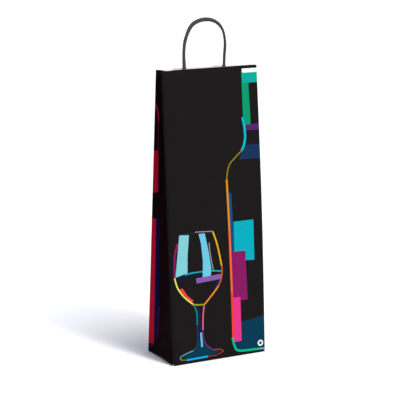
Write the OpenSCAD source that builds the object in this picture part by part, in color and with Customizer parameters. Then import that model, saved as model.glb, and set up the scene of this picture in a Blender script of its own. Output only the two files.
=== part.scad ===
// Single-bottle paper gift carrier, folded from one printed sheet, with two twisted-cord handles.
// It stands on z = 0 with the front panel towards -Y and the mouth up. All sizes in millimetres.

/* [Bag] */
// Width of the front and back panels
bag_w = 140; // [120:5:180]
// Depth of the base, the same as the full width of a gusset
bag_d = 76; // [70:2:100]
// Length of a panel from its base crease to the top edge
panel_len = 390; // [340:5:420]
// Distance between the two top edges, outside to outside
mouth_gap = 18; // [16:1:30]
// Thickness of the paper
paper_t = 0.25; // [0.2:0.05:0.3]
// Inward tilt of the small triangle at the foot of each gusset, in degrees
foot_tilt = 16; // [12:1:18]

/* [Top edge] */
// Depth of the strip turned over inside the mouth
hem_depth = 30; // [20:5:40]
// Distance that the turned strip stops short of the side creases
hem_inset = 2.5; // [2:0.5:5]

/* [Base] */
// Overlap of the two long base flaps
base_lap = 20; // [10:5:30]
// Depth of the two short base flaps
end_flap_depth = 30; // [20:5:35]

/* [Side seam] */
// Width of the glued strip that closes the tube
seam_w = 14; // [10:1:18]

/* [Handles] */
// Diameter of the twisted cord
cord_d = 4; // [3:0.5:4]
// Distance between the centres of a handle's two legs
handle_spread = 58.5; // [50:0.5:60]
// Height of the front handle's centreline above the top edge
handle_rise = 64.5; // [55:0.5:90]
// Sideways place of the front handle
front_handle_x = -7; // [-8:0.5:0]
// How much deeper the back handle is glued than the front one
back_handle_drop = 3; // [0:0.5:5]
// Width of the paper patch that holds the cord ends
patch_w = 100; // [90:5:104]
// Height of the patch
patch_h = 38; // [34:1:45]
// Distance from the top edge down to the patch
patch_drop = 8; // [6:1:12]
// Length of cord glued inside the patch
cord_grip = 30; // [20:1:32]

/* [Hidden] */
$fn = 48;

half_w = bag_w / 2;
half_d = bag_d / 2;
crease_gap = 0.3;                                        // clearance at a living hinge
glue_gap = 0.02;                                         // clearance round the cord inside its patch
lean = asin((half_d - mouth_gap / 2) / panel_len);       // inward lean of each panel
top_z = panel_len * cos(lean);
cord_r = cord_d / 2;
stack_t = 2 * paper_t;                                   // panel and turned strip together
cord_y = 3 * paper_t + cord_r;                           // cord centre, inwards from a panel's outer face
leg_x = handle_spread / 2;

// Base edge left free for the standing walls
base_inset = paper_t + 1.5 * crease_gap;

// Front panel frame: x across, y inwards from the outer face, z up the panel
module on_front() {
    translate([0, -half_d, 0]) rotate([-lean, 0, 0]) children();
}

module on_back() {
    rotate([0, 0, 180]) on_front() children();
}

// ---- walls ----

module panel_sheet() {
    translate([-half_w, 0, crease_gap]) cube([bag_w, paper_t, panel_len - crease_gap]);
}

module hem_strip() {
    translate([hem_inset - half_w, paper_t, panel_len - hem_depth])
        cube([bag_w - 2 * hem_inset, paper_t, hem_depth]);
}

module front_panel() {
    color("#221f1f") on_front() panel_sheet();
}

module back_panel() {
    color("#221f1f") on_back() panel_sheet();
}

module front_hem() {
    color("#e9e7e2") on_front() hem_strip();
}

module back_hem() {
    color("#e9e7e2") on_back() hem_strip();
}

// Glued inside the back panel, at the corner on the right of the front view
module side_seam_strip() {
    color("#e9e7e2") on_back()
        translate([hem_inset - half_w, paper_t, 3])
            cube([seam_w, paper_t, panel_len - hem_depth - 4]);
}

// ---- gussets ----

// Half of the bag's outer depth at height z, with straight leaning panels
function half_gap(z) = half_d - z * tan(lean);

// Depth of the centre crease if each half gusset were dead flat across
function flat_depth(z) = sqrt(half_d * half_d - half_gap(z) * half_gap(z));

foot_apex_x = half_d * sin(foot_tilt);
foot_apex_z = half_d * cos(foot_tilt);
foot_share = foot_apex_x / flat_depth(foot_apex_z);

// The fold is slack at the foot and crisp at the mouth
function crease_depth(z) =
    flat_depth(z) * (1 - (1 - foot_share) * pow(1 - (z - foot_apex_z) / (top_z - foot_apex_z), 2));

gusset_steps = 24;
hem_steps = 2;                                           // the turned strip shares the facets of the top steps
gusset_edge_gap = 2.3 * paper_t;                         // inside the panel's outer face at the side crease
gusset_crease_gap = crease_gap / 2;                      // each side of the middle plane
gusset_foot_gap = 1;
hem_layer = 1.3;                                         // the turned strip lies just clear of the gusset sheet

// Plan direction that points into the bag, square to the left rear half gusset at crease height z
function half_normal(z) = let (d = crease_depth(z), h = half_gap(z), n = norm([d, h])) [h / n, d / n, 0];

// Left rear half gusset between two layers, from share s0 to s1 of its height.
// Station points run from the side crease to the centre crease.
module gusset_sheet(s0, s1, layer, steps) {
    function edge_z(s) = gusset_foot_gap + s * (top_z - gusset_foot_gap);
    function fold_z(s) = foot_apex_z + gusset_foot_gap + s * (top_z - foot_apex_z - gusset_foot_gap);
    function station(s) = let (
            ze = edge_z(s),
            zc = fold_z(s),
            n = half_normal(zc),
            edge = [-half_w, half_gap(ze) - gusset_edge_gap, ze],
            fold = [-half_w + crease_depth(zc), gusset_crease_gap, zc],
            low = layer * paper_t,
            high = low + paper_t
        ) [edge + low * n, fold + low * n, fold + high * n, edge + high * n];
    pts = [for (i = [0:steps]) each station(s0 + (s1 - s0) * i / steps)];
    // Both skins are split along the same diagonal, so that the sheet keeps its thickness
    sides = [for (i = [0:steps - 1], k = [0:3]) let (a = 4 * i + k, b = 4 * i + (k + 1) % 4)
        each k == 2 ? [[a, a + 4, b + 4], [a, b + 4, b]] : [[a, a + 4, b], [b, a + 4, b + 4]]];
    caps = [[0, 1, 2], [0, 2, 3], [4 * steps, 4 * steps + 2, 4 * steps + 1],
        [4 * steps, 4 * steps + 3, 4 * steps + 2]];
    polyhedron(points = pts, faces = concat(sides, caps), convexity = 4);
}

module half_gusset() {
    gusset_sheet(0, 1, 0, gusset_steps);
}

// The turned strip starts a little in from the side crease, clear of the panel
module half_gusset_hem() {
    intersection() {
        gusset_sheet(1 - hem_steps / gusset_steps, 1, hem_layer, hem_steps);
        translate([hem_inset - half_w, 0, top_z - hem_depth * cos(lean)]) cube([bag_w, bag_d, top_z]);
    }
}

module left_gusset_rear() {
    color("#0b0505") half_gusset();
}

module left_gusset_front() {
    color("#0b0505") mirror([0, 1, 0]) half_gusset();
}

module right_gusset_rear() {
    color("#0b0505") mirror([1, 0, 0]) half_gusset();
}

module right_gusset_front() {
    color("#0b0505") rotate([0, 0, 180]) half_gusset();
}

module left_rear_hem() {
    color("#e9e7e2") half_gusset_hem();
}

module left_front_hem() {
    color("#e9e7e2") mirror([0, 1, 0]) half_gusset_hem();
}

module right_rear_hem() {
    color("#e9e7e2") mirror([1, 0, 0]) half_gusset_hem();
}

module right_front_hem() {
    color("#e9e7e2") rotate([0, 0, 180]) half_gusset_hem();
}

// Triangle between the two diagonal creases and the base edge
module foot_facet() {
    reach = half_d - 2 * crease_gap;
    translate([-half_w, 0, 0]) rotate([0, foot_tilt, 0]) rotate([90, 0, 90])
        linear_extrude(paper_t) polygon([[-reach, crease_gap], [reach, crease_gap], [0, reach]]);
}

module left_foot() {
    color("#0b0505") foot_facet();
}

module right_foot() {
    color("#0b0505") mirror([1, 0, 0]) foot_facet();
}

// ---- base ----

module base_layer(n, outline) {
    translate([0, 0, n * paper_t]) linear_extrude(paper_t) polygon(outline);
}

base_x = half_w - base_inset;
base_y = half_d - base_inset;

module base_rear_flap() {
    color("#221f1f") base_layer(0, [
        [-base_x, -base_lap / 2], [base_x, -base_lap / 2], [base_x, base_y], [-base_x, base_y]
    ]);
}

module base_front_flap() {
    color("#221f1f") base_layer(1, [
        [-base_x, -base_y], [base_x, -base_y], [base_x, base_lap / 2], [-base_x, base_lap / 2]
    ]);
}

// Short flap with its two diagonal edges
module end_flap() {
    base_layer(2, [
        [-base_x, -base_y], [end_flap_depth - base_x, end_flap_depth - base_y],
        [end_flap_depth - base_x, base_y - end_flap_depth], [-base_x, base_y]
    ]);
}

module base_left_flap() {
    color("#e9e7e2") end_flap();
}

module base_right_flap() {
    color("#e9e7e2") mirror([1, 0, 0]) end_flap();
}

// ---- handles ----

patch_z = panel_len - patch_drop - patch_h;

module patch_sheet(y) {
    translate([-patch_w / 2, y, patch_z]) cube([patch_w, paper_t, patch_h]);
}

// Runs along a leg, from the glued face out over the cord
module leg_ridge(r, x, z0, z1) {
    translate([x, cord_y, z0]) cylinder(r = r, h = z1 - z0);
    translate([x - r, 2 * paper_t, z0]) cube([2 * r, cord_y - 2 * paper_t, z1 - z0]);
}

// Second patch, pressed over the two cord ends
module patch_cover(x) {
    difference() {
        union() {
            patch_sheet(3 * paper_t);
            for (side = [-1, 1])
                leg_ridge(cord_r + glue_gap + paper_t, x + side * leg_x, patch_z, patch_z + patch_h);
        }
        for (side = [-1, 1])
            leg_ridge(cord_r + glue_gap, x + side * leg_x, patch_z - 1, patch_z + patch_h + 1);
        translate([-bag_w, -1, patch_z - 1]) cube([2 * bag_w, 1 + 3 * paper_t, patch_h + 2]);
    }
}

module cord_ends(x) {
    tail_z = panel_len - patch_drop - cord_grip;
    for (side = [-1, 1])
        translate([x + side * leg_x, cord_y, tail_z])
            cylinder(d = cord_d, h = panel_len - crease_gap - tail_z);
}

// Upright bail: two legs and a half ring, drawn in the row frame over the front panel
module bail(x, rise) {
    foot_y = -half_d + cord_y * cos(lean) + panel_len * sin(lean);
    foot_z = top_z + crease_gap;
    bend_z = top_z + rise - leg_x;
    translate([x, foot_y, 0]) {
        for (side = [-1, 1])
            translate([side * leg_x, 0, foot_z]) cylinder(d = cord_d, h = bend_z - foot_z);
        translate([0, 0, bend_z]) rotate([90, 0, 0])
            rotate_extrude(angle = 180) translate([leg_x, 0]) circle(d = cord_d);
    }
}

module front_handle_patch() {
    color("#e9e7e2") on_front() patch_sheet(2 * paper_t);
}

module back_handle_patch() {
    color("#e9e7e2") on_back() patch_sheet(2 * paper_t);
}

module front_patch_cover() {
    color("#e9e7e2") on_front() patch_cover(front_handle_x);
}

module back_patch_cover() {
    color("#e9e7e2") on_back() patch_cover(0);
}

module front_cord_ends() {
    color("#3c3b3a") on_front() cord_ends(front_handle_x);
}

module back_cord_ends() {
    color("#3c3b3a") on_back() cord_ends(0);
}

module front_handle() {
    color("#3c3b3a") bail(front_handle_x, handle_rise);
}

module back_handle() {
    color("#3c3b3a") rotate([0, 0, 180]) bail(0, handle_rise - back_handle_drop);
}

base_rear_flap();
base_front_flap();
base_left_flap();
base_right_flap();
front_panel();
front_hem();
front_handle_patch();
front_patch_cover();
front_cord_ends();
front_handle();
back_panel();
back_hem();
back_handle_patch();
back_patch_cover();
back_cord_ends();
back_handle();
side_seam_strip();
left_gusset_rear();
left_gusset_front();
right_gusset_rear();
right_gusset_front();
left_rear_hem();
left_front_hem();
right_rear_hem();
right_front_hem();
left_foot();
right_foot();
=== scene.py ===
import math

import bmesh
import bpy
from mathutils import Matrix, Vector


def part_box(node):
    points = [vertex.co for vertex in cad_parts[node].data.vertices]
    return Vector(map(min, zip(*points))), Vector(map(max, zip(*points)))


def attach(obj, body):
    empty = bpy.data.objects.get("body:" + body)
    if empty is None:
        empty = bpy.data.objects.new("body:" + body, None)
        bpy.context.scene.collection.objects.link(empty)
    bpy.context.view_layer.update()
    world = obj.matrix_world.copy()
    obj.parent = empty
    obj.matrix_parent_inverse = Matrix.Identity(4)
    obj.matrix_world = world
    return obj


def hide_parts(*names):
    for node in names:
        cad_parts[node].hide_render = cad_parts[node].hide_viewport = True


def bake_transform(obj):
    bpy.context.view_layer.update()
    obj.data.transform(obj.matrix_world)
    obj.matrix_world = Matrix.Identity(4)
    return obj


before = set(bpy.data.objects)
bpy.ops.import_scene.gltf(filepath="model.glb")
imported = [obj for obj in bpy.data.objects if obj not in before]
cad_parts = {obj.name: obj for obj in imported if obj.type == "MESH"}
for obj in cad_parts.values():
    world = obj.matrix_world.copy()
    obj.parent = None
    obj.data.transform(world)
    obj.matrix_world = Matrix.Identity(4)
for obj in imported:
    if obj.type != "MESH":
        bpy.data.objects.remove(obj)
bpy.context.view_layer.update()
mm = 0.001
print("frame loaded:", len(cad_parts), "nodes")

# measures read from the frame, in mm
panelLow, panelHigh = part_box("front_panel")
halfW = panelHigh.x / mm
halfD = -panelLow.y / mm
paperT = (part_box("base_front_flap")[1].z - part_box("base_front_flap")[0].z) / mm
topZ = panelHigh.z / mm
lean = math.atan2(panelHigh.y / mm + halfD - paperT, topZ)
cosLean = math.cos(lean)
sinLean = math.sin(lean)
panelLen = topZ / cosLean
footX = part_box("left_foot")[1].x / mm + halfW - paperT      # how far the foot triangle's tip leans in
footZ = math.sqrt(halfD ** 2 - footX ** 2)

paper = {
    "rollR": 0.27,            # outer radius of a pressed crease
    "rollSteps": 6,
    "rubAndShadeBand": 1.5,           # grid line beside each crease, where the print is rubbed on a gusset and carries painted shade on a panel
    "rubWidth": 0.8,          # the rub fades out over this distance from a gusset's creases
    "paintedShadeWidth": 2.4,        # and the painted shade of the rounded fold, a deeper black, over this one beside a panel's crease
    "gridX": 5.0,
    "gridV": 10.0,
    "footRow": 1.6,           # closer rows where the gusset halves twist at the foot
    "lastRow": 0.25,          # wall stops this far below the mouth and its turned strip begins
    "firstRow": 0.15,         # and starts this far above the floor
    "gussetColumns": 12,
    "bow": 3.6,               # how far one upright edge of each panel bows out at mid height
    "puff": 1.4,              # how far the middle of a panel stands out
    "softFold": 0.9,          # how far a panel rounds back towards its side creases
    "softFoldWidth": 5.0,
    "pillow": 3.0,            # most that a half gusset bellies into the bag
    "slackUsed": 0.7,         # share of its full sag that it really takes
    "hemDepth": 30.0,         # turned strip inside the mouth
    "hemInset": 2.5,          # and how far it stops short of each side crease
    "printedRoll": 0.3,       # share of the mouth's rolled edge that is still printed
    "diagonalGap": 0.3,       # ink stops this far from the foot's diagonal crease
    "centreGap": 0.2,         # and this far from a gusset's centre crease
    "overlap": 0.06,          # each half gusset runs this far past its centre and diagonal creases
    "cornerDip": 1.6,         # droop of one corner of each panel's mouth edge
    "cornerWidth": 24.0,
    "topDip": 6.5,            # mouth edge of a gusset dips to its centre crease
    "dipPower": 6,            # both dips fade out quickly below the mouth
}


def linearColour(hexText):
    channels = [int(hexText[i:i + 2], 16) / 255 for i in (1, 3, 5)]
    linear = [c / 12.92 if c <= 0.04045 else ((c + 0.055) / 1.055) ** 2.4 for c in channels]
    return (*linear, 1.0)


def addNode(tree, kind, settings=None, values=None, links=None):
    node = tree.nodes.new(kind)
    for key, value in (settings or {}).items():
        setattr(node, key, value)
    for key, value in (values or {}).items():
        node.inputs[key].default_value = value
    for key, socket in (links or {}).items():
        tree.links.new(socket, node.inputs[key])
    return node


def evenly(start, end, step):
    count = max(1, round((end - start) / step))
    return [start + (end - start) * i / count for i in range(count + 1)]


def flatGrid(bm, columns, rows):
    made = bmesh.ops.create_grid(bm, x_segments=len(columns) - 1, y_segments=len(rows) - 1, size=1)
    for vert in made["verts"]:
        i = round((vert.co.x + 1) / 2 * (len(columns) - 1))
        j = round((vert.co.y + 1) / 2 * (len(rows) - 1))
        vert.co = (columns[i], rows[j], 0)
    return made["verts"]


def trim(bm, corner, outwards):
    bmesh.ops.bisect_plane(bm, geom=bm.verts[:] + bm.edges[:] + bm.faces[:], dist=1e-4,
                           plane_co=corner, plane_no=outwards, clear_outer=True)


def smoothPath(points, step):
    # Catmull-Rom through the points, sampled about every step
    ends = [2 * points[0] - points[1]] + points + [2 * points[-1] - points[-2]]
    path = []
    for a, b, c, d in zip(ends, ends[1:], ends[2:], ends[3:]):
        count = max(1, math.ceil((c - b).length / step))
        for i in range(count):
            t = i / count
            path.append(0.5 * (2 * b + (c - a) * t + (2 * a - 5 * b + 4 * c - d) * t * t
                               + (3 * b - a - 3 * c + d) * t ** 3))
    return path + [points[-1]]


def makeObject(name, bm, materials, sharpAngle=40):
    limit = math.radians(sharpAngle)
    for face in bm.faces:
        face.smooth = True
    for edge in bm.edges:
        edge.smooth = edge.calc_face_angle(0) < limit
    mesh = bpy.data.meshes.new(name)
    bm.to_mesh(mesh)
    bm.free()
    for material in materials:
        mesh.materials.append(material)
    piece = bpy.data.objects.new(name, mesh)
    bpy.context.scene.collection.objects.link(piece)
    return piece


def creaseDepth(z):
    # how deep the gusset's centre crease lies at height z: slack at the foot, crisp at the mouth
    gap = halfD - z * math.tan(lean)
    gapAtFoot = halfD - footZ * math.tan(lean)
    share = footX / math.sqrt(halfD ** 2 - gapAtFoot ** 2)
    up = (z - footZ) / (topZ - footZ)
    return math.sqrt(halfD ** 2 - gap ** 2) * (1 - (1 - share) * (1 - up) ** 2)


def turnedOver(v, inward):
    # past the top edge the sheet rolls over and runs back down inside
    over = v - panelLen
    r = paper["rollR"]
    if over <= 0:
        return v, inward
    if over < math.pi * r:
        return panelLen + r * math.sin(over / r), inward + r * (1 - math.cos(over / r))
    return panelLen - (over - math.pi * r), inward + 2 * r


def onPanel(x, v, inward, bowSide):
    # front panel's own frame: x across, v up the sheet, inward from the printed face
    v, inward = turnedOver(v, inward)
    over = abs(x) - halfW
    if over > 0:
        angle = over / paper["rollR"]
        inward += paper["rollR"] * (1 - math.cos(angle))
        roll = math.copysign(paper["rollR"] * math.sin(angle), x)
        x = math.copysign(halfW, x)
    else:
        roll = 0
    rise = math.sin(math.pi * min(max(v / panelLen, 0), 1))
    across = (halfW + bowSide * x) / (2 * halfW)
    bow = paper["bow"] * rise * across ** 2
    puff = paper["puff"] * rise * math.cos(math.pi * x / (2 * halfW))
    near = max(0, 1 - (halfW - abs(x)) / paper["softFoldWidth"])
    y = inward - bow - puff + paper["softFold"] * near ** 2
    atCorner = max(0, 1 - (halfW + x) / paper["cornerWidth"])
    dip = paper["cornerDip"] * atCorner ** 2 * (v / panelLen) ** paper["dipPower"]
    return Vector((x + roll, y * cosLean + v * sinLean - halfD, v * cosLean - y * sinLean - dip))


def onGusset(side, q, v, inward, bowSide):
    # half gusset beside the front panel: q from the side crease to the centre crease
    v, inward = turnedOver(v, inward)
    edge = onPanel(side * halfW, v, 2 * paper["rollR"], bowSide)
    z = v * cosLean
    if v >= halfD:
        fold = Vector((side * (halfW - creaseDepth(z)), 0, z))
        flatWidth = halfD
    else:
        t = v / halfD
        fold = Vector((side * (halfW - footX * t), halfD * (t - 1), footZ * t))
        flatWidth = max(v, 0.01)
    share = min(q / flatWidth, 1.02)            # only just past the crease, even at the very foot
    chord = fold - edge
    # a shallow arc longer than its chord by this slack rises by sqrt(3 / 8 * chord * slack)
    slack = max(flatWidth - chord.length, 0)
    belly = min(paper["pillow"], paper["slackUsed"] * math.sqrt(0.375 * chord.length * slack))
    into = Vector((-side * abs(chord.y), -abs(chord.x), 0)).normalized()
    dip = Vector((0, 0, -paper["topDip"] * share * (v / panelLen) ** paper["dipPower"]))
    return edge + chord * share + into * (inward + belly * 4 * share * (1 - share)) + dip


def toRow(point, turned):
    # the back of the bag is the front turned half round
    return Vector((-point.x, -point.y, point.z)) * mm if turned else point * mm


def foldSheet(name, bm, place, materials, flip=False, rim=0, wearAndShade=None):
    # a flat cut sheet takes its folded place, then its thickness; rim is the slot of its cut edges
    sheetMap = bm.loops.layers.uv.new("sheet")
    creaseLayer = bm.verts.layers.float.new("crease")
    for face in bm.faces:
        for loop in face.loops:
            loop[sheetMap].uv = (loop.vert.co.x / 100, loop.vert.co.y / 100)
    for vert in bm.verts:
        x, v = vert.co.x, vert.co.y
        # each vertex gets its crease value: rubbed wear on the gussets and foot, painted shade beside each
        # panel's crease
        vert[creaseLayer] = wearAndShade(x, v) if wearAndShade else 0.0
        vert.co = place(x, v)
    if flip:
        bmesh.ops.reverse_faces(bm, faces=bm.faces[:])
    bm.normal_update()
    outerFaces = set(bm.faces)
    outerVerts = set(bm.verts)
    bmesh.ops.solidify(bm, geom=bm.faces[:], thickness=paperT * mm)
    for face in bm.faces:
        if face in outerFaces:
            face.material_index = 0
        elif any(vert in outerVerts for vert in face.verts):
            face.material_index = rim
        else:
            face.material_index = 1
    return makeObject(name, bm, materials)


def startMaterial(name):
    material = bpy.data.materials.new(name)
    material.use_nodes = True
    tree = material.node_tree
    sheetMap = addNode(tree, "ShaderNodeUVMap", {"uv_map": "sheet"})
    return material, tree, tree.nodes["Principled BSDF"], sheetMap.outputs[0]


def noise(tree, scale, detail, vector, roughness=0.5):
    return addNode(tree, "ShaderNodeTexNoise", None,
                   {"Scale": scale, "Detail": detail, "Roughness": roughness}, {"Vector": vector})


def spreadOut(tree, value, low, high, fromLow=0.3, fromHigh=0.7):
    # a noise value mostly between fromLow and fromHigh becomes low to high
    return addNode(tree, "ShaderNodeMapRange", None,
                   {"From Min": fromLow, "From Max": fromHigh, "To Min": low, "To Max": high},
                   {"Value": value})


def finishShader(tree, shader, colour, gloss, height, strength, distance, specular):
    bump = addNode(tree, "ShaderNodeBump", None, {"Strength": strength, "Distance": distance},
                   {"Height": height})
    tree.links.new(colour, shader.inputs["Base Color"])
    tree.links.new(gloss, shader.inputs["Roughness"])
    tree.links.new(bump.outputs[0], shader.inputs["Normal"])
    shader.inputs["Specular IOR Level"].default_value = specular


def paperMaterial(name, base, fleck, rubbedAndShaded, roughness, specular):
    # the sheet's UV is in units of 100 mm
    material, tree, shader, sheet = startMaterial(name)
    cloud = noise(tree, 4.0, 3.0, sheet).outputs["Fac"]                       # 25 mm patches of press density
    fibre = noise(tree, 90.0, 5.0, sheet, 0.65).outputs["Fac"]                # 1.1 mm fibre clumps
    both = addNode(tree, "ShaderNodeMath", {"operation": "MULTIPLY"}, None, {0: cloud, 1: fibre})
    flecks = spreadOut(tree, both.outputs[0], 0.0, 1.0, 0.1, 0.45)
    colour = addNode(tree, "ShaderNodeMix", {"data_type": "RGBA"},
                     {"A": linearColour(base), "B": linearColour(fleck)}, {"Factor": flecks.outputs[0]})
    # crease value: lighter rubbed wear on the gussets and foot, darker painted shade beside each panel's
    # crease
    crease = addNode(tree, "ShaderNodeAttribute", {"attribute_name": "crease"})
    rub = addNode(tree, "ShaderNodeMath", {"operation": "MULTIPLY"}, None,
                  {0: crease.outputs["Fac"], 1: fibre})
    wornAndShaded = addNode(tree, "ShaderNodeMix", {"data_type": "RGBA"}, {"B": linearColour(rubbedAndShaded)},
                   {"Factor": rub.outputs[0], "A": colour.outputs["Result"]})
    gloss = spreadOut(tree, fibre, roughness - 0.06, roughness + 0.08)
    finishShader(tree, shader, wornAndShaded.outputs["Result"], gloss.outputs[0], fibre, 0.25, 0.05 * mm, specular)
    return material


def inkMaterial(name, roughness, specular):
    # colour comes from each shape's own ink attribute
    material, tree, shader, sheet = startMaterial(name)
    ink = addNode(tree, "ShaderNodeAttribute", {"attribute_name": "ink"})
    mottle = noise(tree, 70.0, 4.0, sheet).outputs["Fac"]                     # 1.4 mm print mottle
    lift = spreadOut(tree, mottle, 0.94, 1.05)
    colour = addNode(tree, "ShaderNodeVectorMath", {"operation": "SCALE"}, None,
                     {0: ink.outputs["Color"], "Scale": lift.outputs[0]})
    gloss = spreadOut(tree, mottle, roughness - 0.05, roughness + 0.06)
    finishShader(tree, shader, colour.outputs[0], gloss.outputs[0], mottle, 0.2, 0.04 * mm, specular)
    return material


def cordMaterial(name, light, dark, specular):
    # the cord's UV: u once round, v in units of 100 mm along it
    material, tree, shader, sheet = startMaterial(name)
    # painted shade: the cord's colour darkens into the groove between its two strands
    grooveShade = addNode(tree, "ShaderNodeAttribute", {"attribute_name": "groove"})
    streak = addNode(tree, "ShaderNodeMapping", None, {"Scale": (3.0, 26.0, 1.0)}, {"Vector": sheet})
    fibre = noise(tree, 2.0, 5.0, streak.outputs[0]).outputs["Fac"]           # 2 mm soft bands along the cord
    grooveShadeBands = addNode(tree, "ShaderNodeMath", {"operation": "MULTIPLY_ADD", "use_clamp": True}, {2: -0.15},
                    {0: grooveShade.outputs["Fac"], 1: fibre})
    colour = addNode(tree, "ShaderNodeMix", {"data_type": "RGBA"},
                     {"A": linearColour(light), "B": linearColour(dark)}, {"Factor": grooveShadeBands.outputs[0]})
    grain = noise(tree, 160.0, 3.0, sheet).outputs["Fac"]                     # 0.6 mm fibre grain
    gloss = spreadOut(tree, fibre, 0.62, 0.8)
    finishShader(tree, shader, colour.outputs["Result"], gloss.outputs[0], grain, 0.4, 0.1 * mm, specular)
    return material


# Coated art paper, offset printed solid black: an even satin near-black, with painted shade making it deeper
# along one side crease
blackPrint = paperMaterial("art_paper_black_print_satin", "#110e0e", "#151212", "#020001", 0.5, 0.035)
# The same print on the gussets, darker with a faint plum cast and less sheen: partly print, partly painted
# shade of a side turned from the light
gussetPrintAndShade = paperMaterial("art_paper_plum_black_print_and_painted_shade_satin", "#12050a", "#15070d", "#1c0c12", 0.6, 0.015)
# Back of the art paper: matt white with a faint fibre
whitePaper = paperMaterial("art_paper_white_uncoated_matt", "#f0eeea", "#f8f7f5", "#f8f7f4", 0.82, 0.3)
# Reinforcing patches: slightly greyer white board, matt
patchPaper = paperMaterial("patch_paper_white_matt", "#dedad1", "#e9e6df", "#e9e6df", 0.85, 0.3)
# Process inks on the same satin paper: flat strong colours with a faint mottle
offsetInk = inkMaterial("offset_ink_satin", 0.5, 0.03)
# Twisted paper cord, dyed in the mass: dark grey, matt, with painted shade darkening the grooves between the
# crowns of the twist
twistedCord = cordMaterial("twisted_paper_cord_matt", "#3a3938", "#171615", 0.2)
print("materials made")


rollEnd = math.pi * paper["rollR"]
roll = evenly(0, rollEnd, rollEnd / paper["rollSteps"])[1:]
# closer columns beside the creases
edgeColumns = [side * (halfW - d) for d in (0.7, paper["rubAndShadeBand"], 3.0) for side in (-1, 1)]
gussetEdges = [paper["rubAndShadeBand"], halfD - paper["rubAndShadeBand"]]
# one row lies exactly at the foot's tip, and none too near it or the mouth
sheetRows = evenly(0, halfD, paper["footRow"])
sheetRows += [v for v in evenly(0, panelLen, paper["gridV"]) if halfD + 2.1 < v < panelLen - 1]
sheetRows.append(panelLen - paper["lastRow"])
sheetRows[0] = paper["firstRow"]


def besideCrease(distance, width=paper["rubWidth"]):
    return math.exp(-max(distance, 0) / width)


# painted shade: each panel's black darkens towards its left side crease, where the rounded fold turns from
# the light
def panelPaintedShade(x, v):
    return besideCrease(halfW + x, paper["paintedShadeWidth"])


def makePanel(name, body, node, turned, bowSide):
    inner = evenly(-halfW, halfW, paper["gridX"])
    columns = sorted([-halfW - r for r in roll] + inner + edgeColumns + [halfW + r for r in roll])
    bm = bmesh.new()
    flatGrid(bm, columns, sheetRows)
    sheet = foldSheet(name, bm, lambda x, v: toRow(onPanel(x, v, 0, bowSide), turned),
                      [blackPrint, whitePaper], wearAndShade=panelPaintedShade)
    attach(sheet, body)
    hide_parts(node)


def makeTurnedEdge(name, node, place, columns, flip=False):
    lip = [panelLen - paper["lastRow"], panelLen]
    down = evenly(0, paper["hemDepth"], 5)[1:]
    bm = bmesh.new()
    flatGrid(bm, columns, lip + [panelLen + r for r in roll] + [panelLen + rollEnd + d for d in down])
    strip = foldSheet(name, bm, place, [whitePaper, whitePaper], flip=flip, rim=1)
    # the print stops at the fold, so the outer part of the roll is still black
    strip.data.materials.append(blackPrint)
    printEnd = panelLen + rollEnd * paper["printedRoll"]
    for polygon in strip.data.polygons:
        v = sum(strip.data.uv_layers["sheet"].data[i].uv.y for i in polygon.loop_indices)
        if v / polygon.loop_total * 100 < printEnd and polygon.material_index == 0:
            polygon.material_index = 2
    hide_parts(node)
    return strip


def makePanelHem(name, body, node, turned, bowSide):
    reach = halfW - paper["hemInset"]
    strip = makeTurnedEdge(name, node, lambda x, v: toRow(onPanel(x, v, 0, bowSide), turned),
                           evenly(-reach, reach, paper["gridX"]))
    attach(strip, body)


makePanel("front_wall", "front", "front_panel", False, 1)
makePanel("back_wall", "back", "back_panel", True, -1)
makePanelHem("front_turned_edge", "front", "front_hem", False, 1)
makePanelHem("back_turned_edge", "back", "back_hem", True, -1)
print("panels folded")


halves = [
    # name, own side, turned, bow side, parent body, gusset body, CAD sheet, CAD hem
    ("left_front", -1, False, 1, "front", "left_front_gusset", "left_gusset_front", "left_front_hem"),
    ("right_front", 1, False, 1, "front", "right_front_gusset", "right_gusset_front", "right_front_hem"),
    ("right_rear", -1, True, -1, "back", "right_rear_gusset", "right_gusset_rear", "right_rear_hem"),
    ("left_rear", 1, True, -1, "back", "left_rear_gusset", "left_gusset_rear", "left_rear_hem"),
]
# from the side crease to the centre crease at the foot's tip
gussetSpan = (22.8, 22.9, -1.7)


def blendGusset(piece, side, turned, parent, child):
    # the sheet's folded placement is baked into its mesh
    start = toRow(Vector((side * halfW, -halfD, 0)), turned)
    across = toRow(Vector((-side * gussetSpan[0], gussetSpan[1], gussetSpan[2])), turned)
    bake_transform(piece)


def makeGusset(label, side, turned, bowSide, parent, child, sheetNode, hemNode):
    def place(q, v):
        return toRow(onGusset(side, q, v, 0, bowSide), turned)

    def wearAndShade(q, v):
        return max(besideCrease(q), besideCrease(halfD - q), besideCrease(panelLen - v))

    step = halfD / paper["gussetColumns"]
    bm = bmesh.new()
    flatGrid(bm, sorted(evenly(0, halfD + paper["overlap"], step) + gussetEdges), sheetRows)
    trim(bm, (paper["overlap"], 0, 0), (1, -1, 0))
    sheet = foldSheet(label + "_gusset_wall", bm, place, [gussetPrintAndShade, whitePaper],
                      flip=side < 0, wearAndShade=wearAndShade)
    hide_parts(sheetNode)
    blendGusset(sheet, side, turned, parent, child)
    strip = makeTurnedEdge(label + "_gusset_turned_edge", hemNode, place,
                           evenly(paper["hemInset"], halfD, step), side < 0)
    blendGusset(strip, side, turned, parent, child)


for half in halves:
    makeGusset(*half)


foot = {
    "arch": 3.0,              # lift of the middle of its bottom edge
    "archPower": 1.2,         # near 1, so the lift has a slight peak under the centre crease
    "lift": 0.1,              # whole fold, off the floor
    "lap": 1.5,               # it reaches this far under the gusset halves
    "tuck": 0.35,             # and lies this far behind them
    "lowTuck": 0.1,           # but less along its bottom edge
    "corner": 0.2,            # cut square this far short of the base's corners
    "gridY": 3.2,
    "gridW": 3.8,
    "rub": 0.8,               # how strongly its bottom crease is rubbed
}


def footLift(y):
    return foot["arch"] * (1 - min(abs(y) / halfD, 1) ** foot["archPower"])


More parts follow.
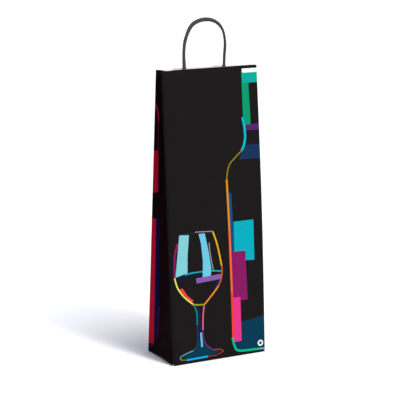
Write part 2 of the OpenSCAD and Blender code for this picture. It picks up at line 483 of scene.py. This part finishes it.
def makeFoot(name, body, node, side):
    lap = foot["lap"]

    def place(y, w):
        rise = w * footZ / halfD + footLift(y) * max(1 - w / halfD, 0) ** 2 + foot["lift"]
        tuck = foot["tuck"] if w > 0.5 else foot["lowTuck"]
        return Vector((side * (halfW - tuck - w * footX / halfD), y, rise)) * mm

    bm = bmesh.new()
    flatGrid(bm, evenly(-halfD - lap, halfD + lap, foot["gridY"]), evenly(0, halfD, foot["gridW"]))
    for flank in (1, -1):
        # along the diagonal crease, then square at the base's corner
        trim(bm, (flank * (halfD - 2 * foot["corner"]), lap, 0), (flank, 1, 0))
        trim(bm, (flank * (halfD - foot["corner"]), 0, 0), (flank, 0, 0))
    sheet = foldSheet(name, bm, place, [gussetPrintAndShade, whitePaper], flip=side < 0,
                      wearAndShade=lambda y, w: foot["rub"] * besideCrease(w))
    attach(sheet, body)
    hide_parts(node)


makeFoot("left_foot_fold", "left_rear_gusset", "left_foot", -1)
makeFoot("right_foot_fold", "right_rear_gusset", "right_foot", 1)
print("gussets folded")


base = {
    "inset": 0.15,            # inside the walls' printed faces
    "lap": 10.0,              # each long flap runs this far past the middle
    "endDepth": 30.0,
    "endShort": 0.3,          # the end flaps stop this much shorter than the long ones
    "liftPower": 1.5,         # their ends rise with the foot's bottom edge
    "grid": 4.0,
}


def makeFlap(name, node, corners, z):
    low = [min(c[i] for c in corners) for i in (0, 1)]
    high = [max(c[i] for c in corners) for i in (0, 1)]

    def place(x, y):
        outward = max(0, (abs(x) - (halfW - base["endDepth"])) / base["endDepth"])
        return Vector((x, y, z + footLift(y) * outward ** base["liftPower"])) * mm

    bm = bmesh.new()
    flatGrid(bm, evenly(low[0], high[0], base["grid"]), evenly(low[1], high[1], base["grid"]))
    centre = Vector(((low[0] + high[0]) / 2, (low[1] + high[1]) / 2, 0))
    for a, b in zip(corners, corners[1:] + corners[:1]):
        edge = Vector((b[0] - a[0], b[1] - a[1], 0))
        outwards = Vector((edge.y, -edge.x, 0))
        if outwards.dot(Vector((a[0], a[1], 0)) - centre) < 0:
            outwards.negate()
        trim(bm, (a[0], a[1], 0), outwards)
    # printed face down, white face up
    flap = foldSheet(name, bm, place, [blackPrint, whitePaper], flip=True)
    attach(flap, "base")
    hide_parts(node)


reachX = halfW - base["inset"]
reachY = halfD - base["inset"]
innerY = reachY - base["endDepth"]
makeFlap("base_rear_leaf", "base_rear_flap",
         [(-reachX, -base["lap"]), (reachX, -base["lap"]), (reachX, reachY), (-reachX, reachY)], 0.0)
makeFlap("base_front_leaf", "base_front_flap",
         [(-reachX, -reachY), (reachX, -reachY), (reachX, base["lap"]), (-reachX, base["lap"])], paperT)
for side, name, node in ((-1, "base_left_leaf", "base_left_flap"), (1, "base_right_leaf", "base_right_flap")):
    outer = side * (reachX - base["endShort"])
    inner = side * (reachX - base["endDepth"])
    makeFlap(name, node, [(outer, -reachY), (inner, -innerY), (inner, innerY), (outer, reachY)], 2 * paperT)
print("base folded")


patch = {
    "halfWidth": 50.0,
    "low": 344.0,
    "high": 382.0,
    "legSpread": 29.25,       # half the distance between a handle's legs
    "inward": 0.82,           # back patch, behind the panel's printed face
    "coverInward": 1.08,      # patch pressed over it
    "crownR": 2.35,           # crown of the cover over a cord end
    "crownLift": 0.45,        # and its clearance from the cord
    "crownHalf": 2.3,
    "crownDrop": 1.9,         # height lost where its flanks begin
    "flankEnd": 5.5,
    "gridX": 4.0,
    "gridV": 6.0,
    "ragged": 0.25,           # wander of a patch's hand-laid edges
    "frontX": -7.0,           # middle of the front pair of legs
    "backX": 0.0,
}
seam = {"width": 14.0, "low": 3.0, "belowHem": 1.0, "inward": 0.51}
cord = {
    "radius": 1.75,           # mean radius of the twisted cord
    # the cord isn't round: how much wider or narrower it looks from the front, from end to end
    "spread": [0, 0, 0.15, -0.08, 0.02, 0.16, 0.12, 0, -0.26, -0.32, -0.1, 0, 0],
    "strandPitch": 11.0,
    "groove": 0.22,           # depth of the line between its two strands
    "uneven": 0.04,           # how much its thickness wanders
    "spokes": 20,
    "inward": 2.9,            # cord centre behind the panel's printed face
    "gluedEnd": 352.0,        # height of its hidden ends up the panel
    "gluedStep": 13.0,
    "bend": 8.0,              # length over which the handle folds at the mouth
    "straight": 4.0,          # the legs leave the mouth straight for this far
    "backDrop": 3,            # the back loop is glued this much deeper
    "step": 1.1,
}


def makeInside(name, body, node, turned, bowSide, columns, rows, inward, material, ragged=0.0):
    def place(x, v):
        depth = inward(x, v) if callable(inward) else inward
        wander = ragged * math.sin(x * 0.9) * math.sin(v * 0.31 + x)
        return toRow(onPanel(x, v + wander, depth, bowSide), turned)

    bm = bmesh.new()
    flatGrid(bm, columns, rows)
    sheet = foldSheet(name, bm, place, [material, material], flip=True, rim=1)
    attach(sheet, body)
    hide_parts(node)


seamX = -halfW + paper["hemInset"]
makeInside("side_seam_leaf", "back", "side_seam_strip", True, -1,
           evenly(seamX, seamX + seam["width"], 3.5),
           evenly(seam["low"], panelLen - paper["hemDepth"] - seam["belowHem"], paper["gridV"]),
           seam["inward"], whitePaper)


def makePatches(label, body, turned, bowSide, centreX):
    legs = (centreX - patch["legSpread"], centreX + patch["legSpread"])

    def tented(x, v):
        # paper pressed over a cord end: a round crown between two short curved flanks
        rise = 0
        crown = cord["inward"] + cord["radius"] + patch["crownLift"]
        for leg in legs:
            away = abs(x - leg)
            if away < patch["crownHalf"]:
                rise = max(rise, crown - patch["crownR"] + math.sqrt(patch["crownR"] ** 2 - away ** 2))
            elif away < patch["flankEnd"]:
                t = (away - patch["crownHalf"]) / (patch["flankEnd"] - patch["crownHalf"])
                rise = max(rise, (crown - patch["crownDrop"]) * (1 - t) ** 2)
        return max(patch["coverInward"], rise)

    wide = evenly(-patch["halfWidth"], patch["halfWidth"], patch["gridX"])
    offsets = (0.7, 1.3, 1.9, 2.3, 3.3, 4.4, 5.5)
    close = [leg + side * d for leg in legs for side in (-1, 1) for d in offsets] + list(legs)
    coverColumns = sorted([x for x in wide if min(abs(x - leg) for leg in legs) > 6] + close)
    rows = evenly(patch["low"], patch["high"], patch["gridV"])
    makeInside(label + "_patch", body, label + "_handle_patch", turned, bowSide, wide, rows,
               patch["inward"], patchPaper, patch["ragged"])
    makeInside(label + "_patch_top_leaf", body, label + "_patch_cover", turned, bowSide, coverColumns, rows,
               tented, patchPaper, patch["ragged"])


makePatches("front", "front", False, 1, patch["frontX"])
makePatches("back", "back", True, -1, patch["backX"])
print("patches glued")


# height above the top edge of the arch's centreline, across from the middle of the loop
arch = [(-30.0, 24), (-26.5, 43), (-17, 58.5), (0, 64), (16, 60.5), (26.5, 50), (30.5, 33), (29.5, 13)]


def makeHandle(label, turned, bowSide, centreX, drop):
    legX = patch["legSpread"]

    def glued(x, v):
        return onPanel(x, v, cord["inward"], bowSide)

    topEdge = glued(0, panelLen)
    left = [glued(centreX - legX, cord["gluedEnd"] + cord["gluedStep"] * i) for i in range(3)]
    right = [glued(centreX + legX, cord["gluedEnd"] + cord["gluedStep"] * i) for i in range(3)]
    # both loops lean the same way, so the turned one is mirrored
    shape = [(-x, h) for x, h in arch[::-1]] if turned else arch
    spread = cord["spread"][::-1] if turned else cord["spread"]
    loop = [Vector((centreX + x, topEdge.y, topEdge.z + h - drop)) for x, h in shape]
    path = smoothPath(left + [glued(centreX - legX, panelLen + cord["straight"])] + loop
                      + [glued(centreX + legX, panelLen + cord["straight"])] + right[::-1], cord["step"])
    along = [0.0]
    for a, b in zip(path, path[1:]):
        along.append(along[-1] + (b - a).length)
    spokes = cord["spokes"]

    def section(k, i):
        before, after = path[max(k - 1, 0)], path[min(k + 1, len(path) - 1)]
        tangent = (after - before).normalized()
        sideways = tangent.cross(Vector((0, 1, 0))).normalized()
        outOfPlane = sideways.cross(tangent)
        angle = 2 * math.pi * i / spokes
        s = along[k]
        place = s / along[-1] * (len(spread) - 1)
        first = min(int(place), len(spread) - 2)
        ease = (1 - math.cos(math.pi * (place - first))) / 2
        wide = spread[first] + (spread[first + 1] - spread[first]) * ease
        strand = angle - 2 * math.pi * s / cord["strandPitch"]
        groove = abs(math.cos(strand)) ** 6                  # two strands, one groove on each side; also the mask of the painted groove shade
        r = cord["radius"] * (1 + wide * math.cos(2 * angle)) - cord["groove"] * groove
        r *= 1 + cord["uneven"] * math.sin(s * 0.37) * math.sin(s * 0.083 + 1)
        return path[k] + sideways * r * math.cos(angle) + outOfPlane * r * math.sin(angle), groove

    bm = bmesh.new()
    flatGrid(bm, list(range(spokes + 1)), list(range(len(path))))
    cordMap = bm.loops.layers.uv.new("sheet")
    grooveShadeLayer = bm.verts.layers.float.new("groove")
    for face in bm.faces:
        for loopCorner in face.loops:
            i, k = loopCorner.vert.co.x, round(loopCorner.vert.co.y)
            loopCorner[cordMap].uv = (i / spokes, along[k] / 100)
    for vert in bm.verts:
        point, groove = section(round(vert.co.y), round(vert.co.x))
        vert[grooveShadeLayer] = groove
        vert.co = toRow(point, turned)
    bmesh.ops.remove_doubles(bm, verts=bm.verts[:], dist=1e-6)
    bmesh.ops.holes_fill(bm, edges=[edge for edge in bm.edges if edge.is_boundary], sides=0)
    bmesh.ops.recalc_face_normals(bm, faces=bm.faces[:])
    handle = makeObject(label + "_handle_cord", bm, [twistedCord], 60)
    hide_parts(label + "_cord_ends", label + "_handle")
    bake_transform(handle)


makeHandle("front", False, 1, patch["frontX"], 0)
makeHandle("back", True, -1, patch["backX"], cord["backDrop"])
print("handles twisted")


# Generic glass and bottle in line and block: x across the panel from its middle, running on past the
# side crease on to the gusset, v up from the base crease. A stroke has a width; a block has none.
motif = [
    # glass
    ("#0c1c44", 2.6, [(-62, 116.5), (-46, 118.5), (-22, 118), (-9, 117)]),
    ("#00b5c4", 1.6, [(-48, 120.5), (-35, 122), (-9, 121.5), (6, 119.5)]),
    ("#85d2d8", 0, [(-54, 174), (-61.5, 118.5), (-44, 122.5), (-43, 146), (-40, 173)]),
    ("#6fcbe6", 0, [(-26, 173), (-23, 160), (-21, 136), (-22, 114), (-10, 114), (-9, 126), (-12, 147),
                    (-17, 173)]),
    ("#8a5cab", 0, [(-32, 114), (-31, 107), (5, 109), (6, 116)]),
    ("#261a5c", 0, [(0, 108), (-7, 91), (-2, 95), (5, 108)]),
    ("#f2433e", 0, [(-57, 102), (-41, 83), (-36, 84), (-45, 92), (-52, 103)]),
    ("#003a4e", 0, [(-29, 34), (-32, 23), (-39, 16), (-52, 12), (-57, 8), (-18, 7), (1, 10), (-11, 14),
                    (-20, 22), (-24, 34)]),
    ("#a0a0a0", 1.2, [(-11, 160), (-10, 146), (-6, 122)]),
    ("#24264a", 1.4, [(-55, 174.5), (-31, 175)]),
    ("#9c8f9a", 1.3, [(-31, 176), (-5, 174.5)]),
    ("#941367", 2.6, [(-57, 163), (-61.5, 146), (-63, 118)]),
    ("#e9ea64", 2.0, [(-63, 118), (-59, 104), (-49, 90), (-37, 79.5)]),
    ("#a4a01e", 2.0, [(-38, 79.5), (-30, 78), (-20, 77.5)]),
    ("#e6b512", 2.2, [(-5, 174), (1, 155), (6.5, 127)]),
    ("#c45c22", 1.9, [(6.5, 127), (7, 119), (5, 108), (1, 100)]),
    ("#f7941d", 2.1, [(1, 100), (-5, 93), (-20, 78)]),
    ("#0d7f9b", 2.0, [(-36, 78), (-32.5, 68), (-32, 51)]),
    ("#22306e", 2.0, [(-32, 51), (-32, 32)]),
    ("#16244e", 2.2, [(-31, 76), (-29, 64), (-28, 42)]),
    ("#dc6a8c", 2.0, [(-21, 76), (-23, 64), (-24, 43)]),
    ("#8c2480", 1.0, [(-24, 43), (-23, 30), (-18, 21), (-10, 14.5)]),
    ("#6cc4e4", 2.8, [(-27, 40), (-26, 20)]),
    ("#1b4c74", 1.3, [(-32, 32), (-34, 22), (-39, 17)]),
    ("#6aa0a8", 1.4, [(-39, 17), (-52, 13.5), (-59, 10), (-57, 6.5)]),
    ("#7c7c1e", 1.4, [(-58, 6.5), (-48, 5.5)]),
    ("#00aeef", 2.6, [(-49, 5.5), (-18, 6)]),
    ("#b0363c", 1.1, [(-18, 6), (-6, 6), (6, 9.5)]),
    ("#a8584c", 1.0, [(6, 9.5), (2, 13), (-10, 14)]),
    # bottle on the panel
    ("#ffffff", 0, [(47, 380), (70, 380), (70, 386), (47, 386)]),
    ("#009c6f", 0, [(46, 311), (57, 311), (56, 368), (46, 384)]),
    ("#00ae9d", 0, [(47, 367), (70, 367), (70, 380.5), (47, 380.5)]),
    ("#55256b", 0, [(49, 304), (70, 304), (70, 312), (49, 312)]),
    ("#16325a", 0, [(37, 266), (70, 266), (70, 285), (46, 285), (42, 275)]),
    ("#003a54", 0, [(22, 24), (24, 14), (31, 7), (70, 4), (70, 51), (34, 46), (34, 24)]),
    ("#0f4c82", 0, [(19, 144), (26, 144), (24, 223), (18.5, 223)]),
    ("#00b0be", 0, [(26, 184), (26, 142), (43, 142), (43, 130), (56, 129), (56, 184)]),
    ("#8b1863", 0, [(21.5, 144), (22, 76), (44.5, 76), (42.5, 143)]),
    ("#ec368d", 0, [(23, 81), (23, 20), (34, 20), (33.5, 81)]),
    ("#00b8c8", 3.4, [(45, 322), (47, 311), (48, 297), (46, 286), (42, 278)]),
    ("#8f8012", 1.9, [(42, 278), (30, 268), (23, 261), (19.5, 251), (18, 240)]),
    ("#e0901c", 2.8, [(18, 241), (19.5, 174)]),
    ("#fb6a2c", 3.0, [(19.5, 174), (20.8, 88)]),
    ("#f2433a", 3.4, [(21, 89), (21.5, 24)]),
    ("#00c08f", 3.0, [(20, 26), (23, 15), (30, 7), (63, 5)]),
    ("#6aa8dc", 2.4, [(62, 5), (70, 4.5)]),
    # bottle where it runs round on to the gusset
    ("#e81240", 1.4, [(70, 346), (73.4, 337), (75, 328), (75, 321)]),
    ("#540c32", 2.2, [(74.6, 321), (77.6, 225)]),
    ("#dc1336", 0, [(70, 225), (77.5, 225), (76, 282), (70, 282)]),
    ("#080648", 0, [(77.5, 225), (79.5, 225), (79, 251), (77, 251)]),
    ("#080648", 0, [(78, 12), (84, 30), (84.5, 60), (80.5, 189), (75.3, 189)]),
    ("#dc1336", 0, [(70, 12), (78.5, 12), (78, 51), (75.3, 189), (70, 189)]),
    ("#481258", 0, [(70, 6), (75, 6), (80, 12), (70, 12)]),
    ("#481258", 1.6, [(85.5, 66), (85.5, 36), (83, 18), (79, 10)]),
]
# plain ring near the foot
ring = {"colour": "#ffffff", "centre": (63, 13), "radius": 3.2, "width": 2.2, "points": 24}
ink = {
    "strength": 0.66,         # the swatches above are for paper lit to pure white
    "proud": 0.02,            # first shape stands this far off the sheet, and is rooted as far below it
    "layer": 0.0025,          # and each later one this much more
    "pathStep": 3.0,
}


def inkFaces(bm, width, points):
    if width:
        path = smoothPath([Vector((x, v, 0)) for x, v in points], ink["pathStep"])
        verts = flatGrid(bm, list(range(len(path))), [-width / 2, width / 2])
        for vert in verts:
            k = round(vert.co.x)
            tangent = (path[min(k + 1, len(path) - 1)] - path[max(k - 1, 0)]).normalized()
            vert.co = path[k] + Vector((-tangent.y, tangent.x, 0)) * vert.co.y
        return list({face for vert in verts for face in vert.link_faces})
    face = bm.faces.new([bm.verts.new((x, v, 0)) for x, v in points])
    face.normal_update()
    if face.normal.z < 0:
        face.normal_flip()
    return [face]


def allOf(faces):
    return list({vert for face in faces for vert in face.verts}) + list(
        {edge for face in faces for edge in face.edges}) + list(faces)


def cutFaces(bm, faces, co, normal, clear=False):
    if not faces:
        return []
    made = bmesh.ops.bisect_plane(bm, geom=allOf(faces), dist=1e-4, plane_co=co, plane_no=normal,
                                  clear_outer=clear)
    return [g for g in made["geom"] if isinstance(g, bmesh.types.BMFace)]


def printMotif(name, place, columns, lowX, highX, shift, ride):
    bm = bmesh.new()
    sheetMap = bm.loops.layers.uv.new("sheet")
    inkLayer = bm.loops.layers.float_color.new("ink")
    middleX, middleV = ring["centre"]
    turns = [2 * math.pi * i / ring["points"] for i in range(ring["points"] + 1)]
    around = [(middleX + ring["radius"] * math.cos(a), middleV + ring["radius"] * math.sin(a)) for a in turns]
    for order, (colour, width, points) in enumerate(motif + [(ring["colour"], ring["width"], around)]):
        span = [min(p[0] for p in points) - width, max(p[0] for p in points) + width]
        if span[0] >= highX or span[1] <= lowX:
            continue
        low = min(p[1] for p in points) - width
        high = max(p[1] for p in points) + width
        faces = inkFaces(bm, width, points)
        faces = cutFaces(bm, faces, (highX, 0, 0), (1, 0, 0), True)
        faces = cutFaces(bm, faces, (lowX, 0, 0), (-1, 0, 0), True)
        if shift:
            # stops at the foot's diagonal crease
            faces = cutFaces(bm, faces, (shift, paper["diagonalGap"], 0), (1, -1, 0), True)
        for x in columns:
            if span[0] < x < span[1] and lowX < x < highX:
                faces = cutFaces(bm, faces, (x, 0, 0), (1, 0, 0))
        for v in sheetRows:
            if low < v < high:
                faces = cutFaces(bm, faces, (0, v, 0), (0, 1, 0))
        if not faces:
            continue
        height = ink["proud"] + ink["layer"] * order
        inkColour = [c * ink["strength"] for c in linearColour(colour)[:3]] + [1]
        for face in faces:
            for loop in face.loops:
                loop[sheetMap].uv = (loop.vert.co.x / 100, loop.vert.co.y / 100)
                loop[inkLayer] = inkColour
        for vert in {vert for face in faces for vert in face.verts}:
            vert.co = place(vert.co.x - shift, vert.co.y, -height)
        for face in faces:
            face.normal_update()
        bmesh.ops.solidify(bm, geom=faces, thickness=(height + ink["proud"]) * mm)
    bmesh.ops.delete(bm, geom=[vert for vert in bm.verts if not vert.link_faces], context="VERTS")
    bmesh.ops.triangulate(bm, faces=bm.faces[:])
    bm.normal_update()
    piece = makeObject(name, bm, [offsetInk], 30)
    ride(piece)


panelColumns = evenly(-halfW, halfW, paper["gridX"]) + edgeColumns
gussetColumns = [halfW + q for q in evenly(0, halfD, halfD / paper["gussetColumns"])
                 + gussetEdges]
for label, body, turned, bowSide, gussetLabel, child in (
        ("front", "front", False, 1, "right_front", "right_front_gusset"),
        ("back", "back", True, -1, "left_rear", "left_rear_gusset")):
    printMotif(label + "_print", lambda x, v, inward: toRow(onPanel(x, v, inward, bowSide), turned),
               panelColumns, -halfW, halfW, 0, lambda piece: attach(piece, body))
    printMotif(gussetLabel + "_print", lambda x, v, inward: toRow(onGusset(1, x, v, inward, bowSide), turned),
               gussetColumns, halfW, halfW + halfD - paper["centreGap"], halfW,
               lambda piece: blendGusset(piece, 1, turned, body, child))
print("motif printed")


studio = {
    "floor": "#ebebee",
    "floorHalf": 20,          # metres
    "keyAzimuth": 20,         # round from straight in front, towards the right
    # a tall narrow bank of lights: elevation, strength
    "keyBank": [(34, 0.14), (42, 0.20), (50, 0.27), (57, 0.33),
                (63, 0.40), (69, 0.50), (75, 0.60), (81, 0.45)],
    "keyAngle": 9,
    "keyTint": "#fffefb",
    "fillStrength": 1.3,
    "fillAngle": 30,
    "fillAzimuth": 14,
    "fillElevation": 14,
    "fillTint": "#ffffff",
    "topStrength": 1.35,
    "topAngle": 90,
    "topTint": "#f1f3ff",
    "world": 0.19,
    "worldTint": "#e8ecf4",
}
camera = {
    "azimuth": -27.58,
    "elevation": 12.44,
    "distance": 2086,
    "target": (-6.3, 7.0, 209.9),
    "lens": 140.6,
}


def directionFrom(azimuth, elevation):
    a, e = math.radians(azimuth), math.radians(elevation)
    return Vector((math.sin(a) * math.cos(e), -math.cos(a) * math.cos(e), math.sin(e)))


bm = bmesh.new()
bmesh.ops.create_grid(bm, x_segments=8, y_segments=8, size=studio["floorHalf"])
floorMaterial = bpy.data.materials.new("studio_floor_matt")
floorMaterial.use_nodes = True
floorShader = floorMaterial.node_tree.nodes["Principled BSDF"]
floorShader.inputs["Base Color"].default_value = linearColour(studio["floor"])
floorShader.inputs["Roughness"].default_value = 0.9
floorShader.inputs["Specular IOR Level"].default_value = 0.1
floor = makeObject("studio_floor", bm, [floorMaterial])

lamps = [("key_light_%d" % elevation, strength, studio["keyAngle"],
          directionFrom(studio["keyAzimuth"], elevation), studio["keyTint"])
         for elevation, strength in studio["keyBank"]]
lamps.append(("front_fill", studio["fillStrength"], studio["fillAngle"],
              directionFrom(studio["fillAzimuth"], studio["fillElevation"]), studio["fillTint"]))
lamps.append(("top_light", studio["topStrength"], studio["topAngle"],
              directionFrom(0, 90), studio["topTint"]))
for name, strength, angle, towards, tint in lamps:
    lamp = bpy.data.lights.new(name, "SUN")
    lamp.energy = strength
    lamp.angle = math.radians(angle)
    lamp.color = linearColour(tint)[:3]
    lampObject = bpy.data.objects.new(name, lamp)
    lampObject.rotation_mode = "QUATERNION"
    lampObject.rotation_quaternion = (-towards).to_track_quat("-Z", "Y")
    lampObject.location = towards * 3
    bpy.context.scene.collection.objects.link(lampObject)

world = bpy.data.worlds.new("studio")
world.use_nodes = True
world.node_tree.nodes["Background"].inputs["Color"].default_value = linearColour(studio["worldTint"])
world.node_tree.nodes["Background"].inputs["Strength"].default_value = studio["world"]
bpy.context.scene.world = world
bpy.context.scene.view_settings.view_transform = "Standard"

lens = bpy.data.cameras.new("studio_camera")
lens.lens = camera["lens"]
lens.sensor_width = 36
cameraObject = bpy.data.objects.new("studio_camera", lens)
back = directionFrom(camera["azimuth"], camera["elevation"])
cameraObject.location = Vector(camera["target"]) * mm + back * camera["distance"] * mm
cameraObject.rotation_mode = "QUATERNION"
cameraObject.rotation_quaternion = (-back).to_track_quat("-Z", "Y")
bpy.context.scene.collection.objects.link(cameraObject)
bpy.context.scene.camera = cameraObject
print("studio set")
